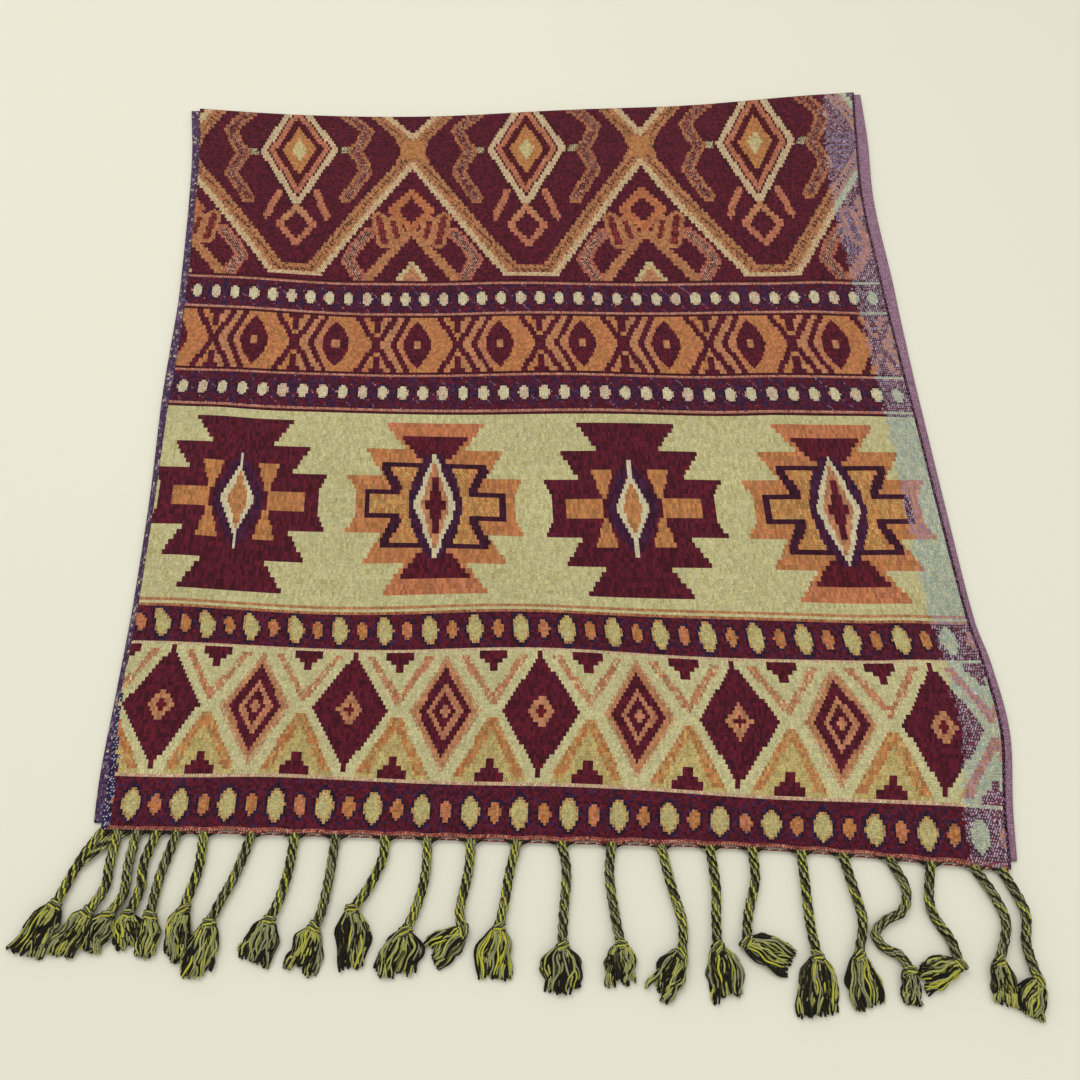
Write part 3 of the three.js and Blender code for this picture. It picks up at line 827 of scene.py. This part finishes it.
def cloth_material(name):
    """Woven wool: each thread's crossing is a small mound, set off by half in every other row,
    and takes one of its cell's two yarns in a loose twill."""
    shader = Shader(name)
    threads = shader.add("UVMap", "UV", {}, uv_map="Threads")
    x = shader.add("SeparateXYZ", "X", {0: threads})
    along = shader.math("DIVIDE", x.node.outputs["Y"], THREAD_HEIGHT)
    row = shader.math("FLOOR", along)
    offset = shader.times(shader.math("PINGPONG", row, 1.0), 0.5)
    across = shader.plus(shader.math("DIVIDE", x, THREAD_WIDTH), offset)
    column = shader.math("FLOOR", across)
    mound = shader.times(shader.mound(across, 0.5), shader.mound(along, 0.6))
    yarn, fleck = shader.layer("yarn"), shader.layer("fleck")
    twill = shader.plus(shader.times(column, 0.5), shader.times(row, 0.25))
    loose = shader.times(shader.scatter(column, row), 0.35)
    draw = shader.math("FRACT", shader.plus(twill, loose))
    flecked = shader.math("LESS_THAN", draw, fleck.node.outputs["Alpha"])
    colour = shader.mixed(flecked, yarn, fleck)

    place = shader.place()
    fibre = shader.noise(place, 2600, 3, 0.65)
    pilling = shader.noise(place, 240, 2, 0.6)
    handling = shader.noise(place, 9, 3, 0.55)
    # Painted shade: the colour is darkened in the grooves between the thread mounds. The fibre and pilling
    # noises, which also raise the bump, the broad noise and each thread's draw vary the tone.
    shade = shader.times(
        shader.between(mound, 0.6, 1.12),
        shader.between(fibre, 0.86, 1.14),
        shader.between(handling, 0.88, 1.12),
        shader.between(pilling, 0.88, 1.12),
        shader.between(shader.scatter(row, column), 0.82, 1.18),
    )
    shader.bump(shader.plus(mound, shader.times(fibre, 0.35), shader.times(pilling, 0.6)), 0.0004, 0.8)
    roughness = shader.between(fibre, 0.82, 0.98)
    return shader.finish(shader.dimmed(colour, shade), roughness, 0.03)


def yarn_material(name):
    """Spun acrylic yarn: fine fibres, its colour darker in the hollows of its bump as painted shade."""
    shader = Shader(name)
    place = shader.place()
    fibre = shader.noise(place, 3200, 3, 0.6)
    lumps = shader.noise(place, 420, 2, 0.5)
    # Painted shade: the colour is darker where the fibre and lump noises that raise the bump are low.
    shade = shader.times(shader.between(fibre, 0.8, 1.2), shader.between(lumps, 0.82, 1.18))
    shader.bump(shader.plus(fibre, shader.times(lumps, 0.8)), 0.0004, 0.7)
    roughness = shader.between(lumps, 0.8, 0.95)
    return shader.finish(shader.dimmed(shader.layer("yarn"), shade), roughness, 0.05)


# ---------------- the cloth


# How a selvedge or hem turns down: how far out and how far down, as shares of half the wall.
RIM = [(0.8, 0.35), (1.0, 1.0), (0.4, 2.0)]

SCALLOP_DEPTH, SCALLOP_HALF, SCALLOP_REACH = 1.6, 9, 16
WAVER = 0.8  # the weft lines waver this much, by these lengths across and along
WAVER_ACROSS, WAVER_ALONG, WAVER_STARTS = 37, 61, 30


def stitch_rows():
    """The edges of the pattern's rows along the warp."""
    edges = [np.array([0.0])]
    for end, rows, *_ in STITCH_ROWS:
        edges.append(np.linspace(edges[-1][-1], end, rows + 1)[1:])
    return np.concatenate(edges)


def hem_scallop(x):
    """How far the hem draws back between the tassels that pull it out."""
    nearest = np.min([np.abs(x - row[0]) for row in TASSELS], axis=0)
    return SCALLOP_DEPTH * (1 - np.exp(-(nearest / SCALLOP_HALF) ** 2))


def upper_leaf():
    """The leaf that shows: its face, a rounded rim at both selvedges and the hem, and the fold."""
    last_row = LENGTH - FOLD_RADIUS
    across = np.linspace(0, 1, CELLS_ACROSS + 1)
    along = stitch_rows()
    x, y = lay_out(across, along)
    z = bed_height(x, y, along) + GAP + WALL
    warp = along[:, None]
    waver = WAVER * np.sin(x / WAVER_ACROSS + warp / WAVER_ALONG)
    y = y + waver * np.clip(warp / WAVER_STARTS, 0, 1)
    y = y + hem_scallop(x) * np.clip(1 - warp / SCALLOP_REACH, 0, 1) ** 2

    # The fold, half a turn down to the surface.
    turn = math.pi / 2 - math.pi * np.arange(1, FOLD_STEPS + 1) / FOLD_STEPS
    fold_x = np.repeat(x[-1:], FOLD_STEPS, axis=0)
    fold_y = y[-1] + FOLD_RADIUS * np.cos(turn)[:, None]
    fold_z = np.repeat(FLOOR_CLEAR + FOLD_RADIUS * (1 + np.sin(turn))[:, None], len(across), axis=1)
    x, y, z = np.vstack([x, fold_x]), np.vstack([y, fold_y]), np.vstack([z, fold_z])
    woven = np.concatenate([along, last_row + FOLD_RADIUS * (math.pi / 2 - turn)])

    count, half = len(RIM), WALL / 2
    x, y, z = (np.pad(grid, ((count, 0), (count, count)), mode="edge") for grid in (x, y, z))
    woven = np.pad(woven, (count, 0), mode="edge")
    p = np.pad(across * WIDTH, count, mode="edge")
    for level, (out, down) in enumerate(RIM):
        ring = count - 1 - level
        x[:, ring] -= out * half
        x[:, -1 - ring] += out * half
        y[ring] -= out * half
        z[:, ring] = z[:, count] - down * half
        z[:, -1 - ring] = z[:, -1 - count] - down * half
        z[ring, count:-count] = z[count, count:-count] - down * half
    z[:count, :count] = z[:count, :1]
    z[:count, -count:] = z[:count, -1:]
    z = np.maximum(z, FLOOR_CLEAR)

    points = np.stack([x, y, z], axis=-1).reshape(-1, 3)
    middle_p = (p[1:] + p[:-1]) / 2
    middle_s = (woven[1:] + woven[:-1]) / 2
    colours, flecks = weave(middle_p, middle_s)
    threads = np.stack(np.meshgrid(p, woven), axis=-1).reshape(-1, 2)
    piece = make_piece("woven_leaf", points, grid_faces(*x.shape), colours.reshape(-1, 3),
                       flecks.reshape(-1, 4), threads)
    piece.data.materials.append(cloth_finish)
    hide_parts("upper_leaf")
    return piece


# The rim of the two lower layers: the share of their height, and how far it is drawn in.
LAYERED_RIM = [(1, 0.9), (0.96, 0.4), (0.87, 0.08), (0.75, 0), (0.62, 0.08), (0.54, 0.5), (0.5, 1.3),
               (0.46, 0.5), (0.38, 0.08), (0.25, 0), (0.13, 0.08), (0.04, 0.4), (0, 0.9)]


def weave_reverse(s, left_side):
    """The lower leaf's selvedges: navy with paler flecks on the left, mauve ribs on the right."""
    dice = DICE.random(len(s))
    colours = np.tile(linear("mauve"), (len(s), 1))
    flecks = np.tile([*linear("mauve_dark"), 0.3], (len(s), 1))
    colours[left_side] = linear("navy")
    flecks[left_side] = [*linear("mauve_dark"), 0.35]
    colours[left_side & (dice > 0.8)] = linear("lavender")
    colours[left_side & (dice > 0.91)] = linear("white")
    rib = np.floor(s / 2.6).astype(int) % 2 == 0
    colours[rib] *= 0.92
    return colours, flecks


def lower_layers():
    """The leaf below and its tucked end: a bed for the upper leaf with a rim of two layers."""
    strip, middle = 4, 20
    across = np.concatenate([np.zeros(strip), np.linspace(0, 1, middle + 1), np.ones(strip)])
    out = np.concatenate([np.linspace(-1, 0, strip + 1)[:-1], np.zeros(middle + 1),
                          np.linspace(0, 1, strip + 1)[1:]])
    along = np.linspace(HEM_SETBACK, LENGTH - FOLD_RADIUS, 300)
    x, y = lay_out(across, along)
    z = bed_height(x, y, along)
    peek_left = smooth(LINE_S, PEEK_LEFT, along)[:, None]
    peek_right = smooth(LINE_S, PEEK_RIGHT, along)[:, None]
    x = x + np.where(out < 0, out * peek_left, out * peek_right)
    p, s = np.meshgrid(across * WIDTH + out * 10, along)
    rows, columns = x.shape

    first_inset = LAYERED_RIM[0][1]
    edge = [(0, c) for c in range(columns - 1)] + [(r, columns - 1) for r in range(rows - 1)]
    edge += [(rows - 1, c) for c in range(columns - 1, 0, -1)] + [(r, 0) for r in range(rows - 1, 0, -1)]
    r, c = np.array(edge).T
    inward_x = np.where(c == 0, 1, 0) - np.where(c == columns - 1, 1, 0)
    inward_y = np.where(r == 0, 1, 0) - np.where(r == rows - 1, 1, 0)
    rim_x, rim_y, rim_z = x[r, c], y[r, c] - GAP * (r == rows - 1), z[r, c]
    levels = [np.stack([rim_x + inward_x * inset, rim_y + inward_y * inset, rim_z * share], axis=-1)
              for share, inset in LAYERED_RIM]
    x[:, 0] += first_inset
    x[:, -1] -= first_inset
    y[0] += first_inset
    y[-1] -= first_inset + GAP
    top = np.stack([x, y, z], axis=-1).reshape(-1, 3)
    rim = np.concatenate(levels)
    points = np.concatenate([top, rim])
    threads = np.concatenate([np.stack([p, s], axis=-1).reshape(-1, 2)]
                             + [np.stack([p[r, c] + 3 * k, s[r, c]], axis=-1) for k in range(len(levels))])
    rim_quads = grid_faces(len(levels), len(edge), closed=True)[:, ::-1] + len(top)
    quads = np.concatenate([grid_faces(rows, columns), rim_quads])
    centre = threads[quads].mean(axis=1)
    colours, flecks = weave_reverse(centre[:, 1], points[quads[:, 0], 0] < 0)
    piece = make_piece("lower_leaf", points, quads, colours, flecks, threads)
    piece.data.materials.append(cloth_finish)
    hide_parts("lower_layers")
    return piece


# ---------------- yarns


def run_along(points):
    """How far along their line each of the points is."""
    return np.concatenate([[0], np.cumsum(np.linalg.norm(np.diff(points, axis=0), axis=1))])


def curve_through(points, step):
    """Points a step apart on a smooth curve through points."""
    points = np.asarray(points, float)
    ends = np.vstack([2 * points[0] - points[1], points, 2 * points[-1] - points[-2]])
    samples = []
    for a, b, c, d in zip(ends, ends[1:], ends[2:], ends[3:]):
        for f in np.linspace(0, 1, 12, endpoint=False):
            samples.append(0.5 * (2 * b + (c - a) * f + (2 * a - 5 * b + 4 * c - d) * f ** 2
                                  + (3 * b - a - 3 * c + d) * f ** 3))
    samples.append(points[-1])
    samples = np.array(samples)
    reach = run_along(samples)
    stops = np.linspace(0, reach[-1], max(3, int(round(reach[-1] / step)) + 1))
    return np.stack([np.interp(stops, reach, samples[:, k]) for k in range(3)], axis=-1)


def unit(vectors):
    return vectors / np.maximum(np.linalg.norm(vectors, axis=-1, keepdims=True), 1e-9)


def frames(path):
    """Two crosswise directions at each point of a path, carried along it without a twist."""
    tangents = unit(np.gradient(path, axis=0))
    side = unit(np.cross(tangents[0], (0.03, 0.02, 1.0)))
    sides = []
    for tangent in tangents:
        side = unit(side - tangent * side.dot(tangent))
        sides.append(side)
    sides = np.array(sides)
    return sides, np.cross(sides, tangents)


class Bundle:
    """Yarns gathered into one mesh, with a colour for each face."""

    def __init__(self):
        self.points, self.quads, self.colours = [], [], []
        self.count = 0

    def tube(self, path, radii, plies, sides, turns, ridge=0.12):
        """A yarn along a path: its plies' colours wind round it, each a low ridge."""
        first, second = frames(path)
        rings = len(path)
        angle = 2 * math.pi * np.arange(sides) / sides
        winding = 2 * math.pi * turns * np.arange(rings)
        bulge = 1 + ridge * np.cos(len(plies) * (angle[None, :] - winding[:, None]))
        reach = np.broadcast_to(radii, (rings,))[:, None] * bulge
        ring = (path[:, None, :] + (reach * np.cos(angle))[..., None] * first[:, None, :]
                + (reach * np.sin(angle))[..., None] * second[:, None, :])
        ring[..., 2] = np.maximum(ring[..., 2], FLOOR_CLEAR)
        tips = np.stack([path[0], path[-1]])
        points = np.concatenate([ring.reshape(-1, 3), tips])
        quads = [grid_faces(rings, sides, closed=True)[:, ::-1]]
        side = np.arange(0, sides, 2)
        after, beyond = (side + 1) % sides, (side + 2) % sides
        last = (rings - 1) * sides
        tip = np.full(len(side), rings * sides)
        quads.append(np.stack([tip, beyond, after, side], axis=-1)[:, ::-1])
        quads.append(np.stack([tip + 1, side + last, after + last, beyond + last], axis=-1)[:, ::-1])
        turn = (angle[None, :] - winding[:-1, None] + math.pi / sides) / (2 * math.pi) % 1
        ply = (turn * len(plies)).astype(int) % len(plies)
        palette = np.array([linear(name) for name in plies])
        worn = 0.85 + 0.3 * DICE.random(ply.size)
        body = palette[ply.ravel()] * worn[:, None]
        caps = np.tile(palette[0] * 0.8, (2 * len(side), 1))
        self.points.append(points)
        self.quads.append(np.concatenate(quads) + self.count)
        self.colours.append(np.concatenate([body, caps]))
        self.count += len(points)

    def piece(self, name):
        points, quads = np.concatenate(self.points), np.concatenate(self.quads)
        piece = make_piece(name, points, quads, np.concatenate(self.colours))
        piece.data.materials.append(yarn_finish)
        return piece


CORD_RADIUS = 3.8
CORD_PLIES = 3
PLY_RADIUS = 2.3
PLY_PITCH = 24.0  # for one whole turn of the plies
ONE_TURN = 6.28  # radians
KNOT_RADIUS = 5.6
KNOT_PLY_RADIUS = 2.0
KNOT_TURNS = [(-2.2, 2.9), (0.6, 3.5), (3.3, 3.2)]  # how far down the cord, and how far round
BRUSH_YARNS = 80
BRUSH_LOCKS = 5  # that wave together
PLY_YARNS = ["black", "chartreuse", "moss", "grey_green", "black", "moss",
             "lime", "moss", "black", "grey_green", "moss", "black"]
BRUSH_PLIES = [
    # up to what share of the yarns, their radius and plies
    (0.38, 1.1, ["black"]),
    (0.56, 1.0, ["black", "moss"]),
    (0.71, 0.75, ["chartreuse"]),
    (0.77, 0.75, ["lime"]),
    (0.9, 0.75, ["grey_green"]),
    (1.0, 0.85, ["chartreuse", "black"]),
]


def hem_line():
    """The middle of the hem's edge, from left to right."""
    across = np.linspace(0, 1, 101)
    x, y = lay_out(across, [0.0])
    return np.stack([x[0], y[0]], axis=-1)


def hem_point(root):
    line = hem_line()
    x = np.clip(root, line[0, 0] + 1.5, line[-1, 0] - 1.5)
    return np.array([x, np.interp(x, line[:, 0], line[:, 1])])


def heading_at(degrees):
    turn = math.radians(degrees)
    return np.array([math.sin(turn), -math.cos(turn), 0.0])


def left_of(heading):
    return np.array([-heading[1], heading[0], 0.0])


def wind_ply(bundle, path, radius, first):
    """One ply of a cord. It takes the twelve yarns from the first one given here."""
    yarns = PLY_YARNS[first:] + PLY_YARNS[:first]
    bundle.tube(path, radius, yarns, sides=12, turns=0.03, ridge=0.08)


def wind_cord(bundle, path, start_turn):
    """Plies wound round a path."""
    reach = run_along(path)
    first, second = frames(path)
    for ply in range(CORD_PLIES):
        angle = start_turn + 2 * math.pi * (reach / PLY_PITCH + ply / CORD_PLIES)
        offset = np.cos(angle)[:, None] * first + np.sin(angle)[:, None] * second
        strand = path + offset * (CORD_RADIUS - PLY_RADIUS)
        wind_ply(bundle, strand, PLY_RADIUS, 3 * ply)


def tie_knot(bundle, knot, heading, dice):
    """Three turns of the cord's plies round the knot, each a little aslant."""
    left = left_of(heading)
    up = np.array([0.0, 0.0, 1.0])
    middle = knot + up * (FLOOR_CLEAR + KNOT_RADIUS - 0.4)
    lean = 1.6 * (dice.random() - 0.5)
    turn = np.linspace(0, 2 * math.pi, 15)
    for k, (shift, reach) in enumerate(KNOT_TURNS):
        tilt = lean + 0.9 * (dice.random() - 0.5)
        shift += 1.2 * (dice.random() - 0.5)
        ring = (middle + heading * shift + np.cos(turn)[:, None] * left * (reach + 0.4 * dice.random())
                + np.sin(turn)[:, None] * up * (reach - 0.6)
                + (np.cos(turn) * tilt * 2.4)[:, None] * heading)
        wind_ply(bundle, ring, KNOT_PLY_RADIUS, 4 * k)


def spread_brush(bundle, knot, row, dice):
    """The brush: wavy yarns that swell out of the knot in locks and come down to the surface."""
    _, _, _, turn, brush, half = row
    heading = heading_at(turn)
    left = left_of(heading)
    stations = np.linspace(0, 1, 12)
    tips_open = 0.6 + 0.5 * dice.random()
    opened = np.interp(stations, [0, 0.12, 0.3, 0.55, 1], [0, 0.45, 0.85, 1, tips_open])
    bend = 8 * (dice.random() - 0.5) * stations ** 2
    sways = (dice.random(BRUSH_LOCKS) - 0.5) * 6
    phases = dice.random(BRUSH_LOCKS) * 2 * math.pi
    reaches = 0.82 + 0.24 * dice.random(BRUSH_LOCKS)
    for k in range(BRUSH_YARNS):
        place = 2 * (k + dice.random()) / BRUSH_YARNS - 1
        lock = int(dice.random() * 1.6 + (place + 1) / 2 * (BRUSH_LOCKS - 0.61)) % BRUSH_LOCKS
        pick = dice.random()
        radius, plies = next((r, names) for share, r, names in BRUSH_PLIES if pick <= share)
        low = FLOOR_CLEAR + radius
        layer = 0.8 * dice.random() if radius > 0.9 else 0.3 + 0.75 * dice.random()
        crown = math.sqrt(max(0.0, 1 - 0.8 * place ** 2))
        stray = 1.2 if dice.random() < 0.06 else 1.0
        length = brush * (reaches[lock] + 0.14 * (dice.random() - 0.5)) + 1
        sway = sways[lock] * np.sin(1.5 * math.pi * stations) * stations
        ripple = (1.4 * np.sin(stations * 7 + phases[lock] + dice.random() * 0.8)
                  + 0.5 * np.sin(stations * 14 + pick * 40)) * np.clip(stations * 3, 0, 1)
        aside = stray * place * (4.2 + (half - 6.5) * opened) + sway + ripple + bend
        crest = low + (1.5 + 8.5 * layer) * crown
        end_height = low + 4.5 * layer * dice.random()
        start_height = low + 1 + 6.5 * layer * crown
        falling = 0.7 * crest + 0.3 * end_height
        height = np.interp(stations, [0, 0.25, 0.7, 1], [start_height, crest, falling, end_height])
        path = knot + heading * (length * stations)[:, None] + left * aside[:, None]
        path[:, 2] = np.maximum(height + 0.5 * np.sin(stations * 11 + pick * 60), low)
        radii = radius * np.interp(stations, [0, 0.3, 0.85, 1], [0.85, 1.0, 1.0, 0.7])
        bundle.tube(path, radii * (0.85 + 0.3 * dice.random()), plies, sides=6, turns=0.1)


# Where the warp ends of a cord leave the hem, from its root. The first cord gathers the corner's.
WEB = (-10, -6, -3, 0, 3, 6, 10)
CORNER_WEB = (-1, 2.5, 6, 9.5, 13, 16.5, 20, 23.5)


def gather_web(bundle, root, path, asides, dice):
    """Warp ends of the hem drawn together into the cord, farther down it where they are many."""
    join = path[min(len(path) - 1, 3 if asides is WEB else 20)]
    for k, aside in enumerate(asides):
        hem = hem_point(root + aside)
        start = np.array([hem[0], hem[1] + 0.4, 2.8])
        end = join + np.array([aside * 0.1, 0, 0.5 * dice.random()])
        middle = start * 0.55 + end * 0.45 + np.array([-aside * 0.12, 0, 0.8])
        plies = ["black", "chartreuse", "moss"] if k % 2 else ["black", "grey_green", "black"]
        bundle.tube(curve_through([start, middle, end], 2.0), 1.1, plies, sides=6, turns=0.15)


def tassel(number, row):
    """A twisted cord from the hem, its knot and its brush."""
    root, bends, knot, turn, _, _ = row
    dice = np.random.default_rng(100 + number)
    bundle = Bundle()
    hem = hem_point(root)
    level = FLOOR_CLEAR + CORD_RADIUS
    heading = heading_at(turn)
    knot_point = np.array([*knot, 0.0])
    ends = [(hem[0], hem[1] - 0.8, level), *[(x, y, level) for x, y in bends],
            (*knot, level + 1), (*(knot_point + heading * 3)[:2], level + 1)]
    path = curve_through(ends, 1.6)
    wind_cord(bundle, path, dice.random() * ONE_TURN)
    tie_knot(bundle, knot_point, heading, dice)
    spread_brush(bundle, knot_point, row, dice)
    gather_web(bundle, root, path, CORNER_WEB if number == 1 else WEB, dice)
    piece = bundle.piece(f"yarn_tassel_{number:02d}")
    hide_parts(f"tassel_{number:02d}")
    return piece


HEM_YARN_RADIUS = 0.7


def hem_yarn():
    """The last twisted picks along the hem's edge."""
    bundle = Bundle()
    across = np.linspace(0.002, 0.998, 420)
    x, y = lay_out(across, [0.0])
    height = bed_height(x, y, np.array([0.0])) + GAP + WALL / 2
    path = np.stack([x[0], y[0] - 1.0, height[0]], axis=-1)
    bundle.tube(path, HEM_YARN_RADIUS, ["rust", "dark", "rose", "dark"], sides=8, turns=0.2)
    return bundle.piece("hem_yarn")


# ---------------- stage, camera and light

CAMERA_PLACE = (-0.0235, -0.5768, 0.9077)
CAMERA_DOWN, CAMERA_YAW, CAMERA_ROLL = 61.23, -3.61, 2.68  # degrees


def set_camera():
    """Looks down at the shawl from in front of its tassels."""
    down, yaw, roll = (math.radians(a) for a in (CAMERA_DOWN, CAMERA_YAW, CAMERA_ROLL))
    heading = Matrix.Rotation(yaw, 3, "Z")
    forward = heading @ Vector((0, math.cos(down), -math.sin(down)))
    up = heading @ Vector((0, math.sin(down), math.cos(down)))
    right = heading @ Vector((1, 0, 0))
    across = right * math.cos(roll) + up * math.sin(roll)
    upright = up * math.cos(roll) - right * math.sin(roll)
    lens = bpy.data.cameras.new("camera")
    lens.lens = 40
    lens.sensor_width = 36
    camera = add_object("camera", lens)
    turned = Matrix((across, upright, -forward)).transposed().to_4x4()
    camera.matrix_world = Matrix.Translation(CAMERA_PLACE) @ turned
    bpy.context.scene.camera = camera


def lay_floor():
    """A plain pale floor."""
    shader = Shader("pale floor")
    shader.surface.inputs["Base Color"].default_value = (*linear((219, 217, 201)), 1)
    shader.surface.inputs["Roughness"].default_value = 0.9
    shader.bump(shader.noise(shader.place(), 60, 3, 0.5), 0.0006, 0.15)
    size = 6.0
    mesh = bpy.data.meshes.new("floor")
    corners = [(-size, -size, 0), (size, -size, 0), (size, size, 0), (-size, size, 0)]
    mesh.from_pydata(corners, [], [(0, 1, 2, 3)])
    mesh.materials.append(shader.material)
    floor = add_object("floor", mesh)


def set_lights():
    """One broad soft light from above and a bright room."""
    world = bpy.data.worlds.new("room")
    world.use_nodes = True
    background = world.node_tree.nodes["Background"]
    background.inputs["Color"].default_value = (1.0, 0.98, 0.94, 1)
    background.inputs["Strength"].default_value = 0.78
    bpy.context.scene.world = world
    lamps = [
        # name, place, watts, size
        ("key", (-0.7, 0.7, 2.2), 20, 1.4),
        ("fill", (1.2, -0.9, 2.0), 8, 1.8),
    ]
    for name, place, watts, size in lamps:
        light = bpy.data.lights.new(name, "AREA")
        light.energy = watts
        light.size = size
        lamp = add_object(name, light)
        lamp.location = place
        lamp.rotation_euler = (-Vector(place)).to_track_quat("-Z", "Y").to_euler()


# ---------------- the shawl

bpy.context.scene.view_settings.view_transform = "Standard"
set_camera()
lay_floor()
set_lights()

cloth_finish = cloth_material("woven wool")
yarn_finish = yarn_material("spun yarn")
under = lower_layers()
leaf = upper_leaf()
hem = hem_yarn()
tassels = [tassel(number, row) for number, row in enumerate(TASSELS, 1)]
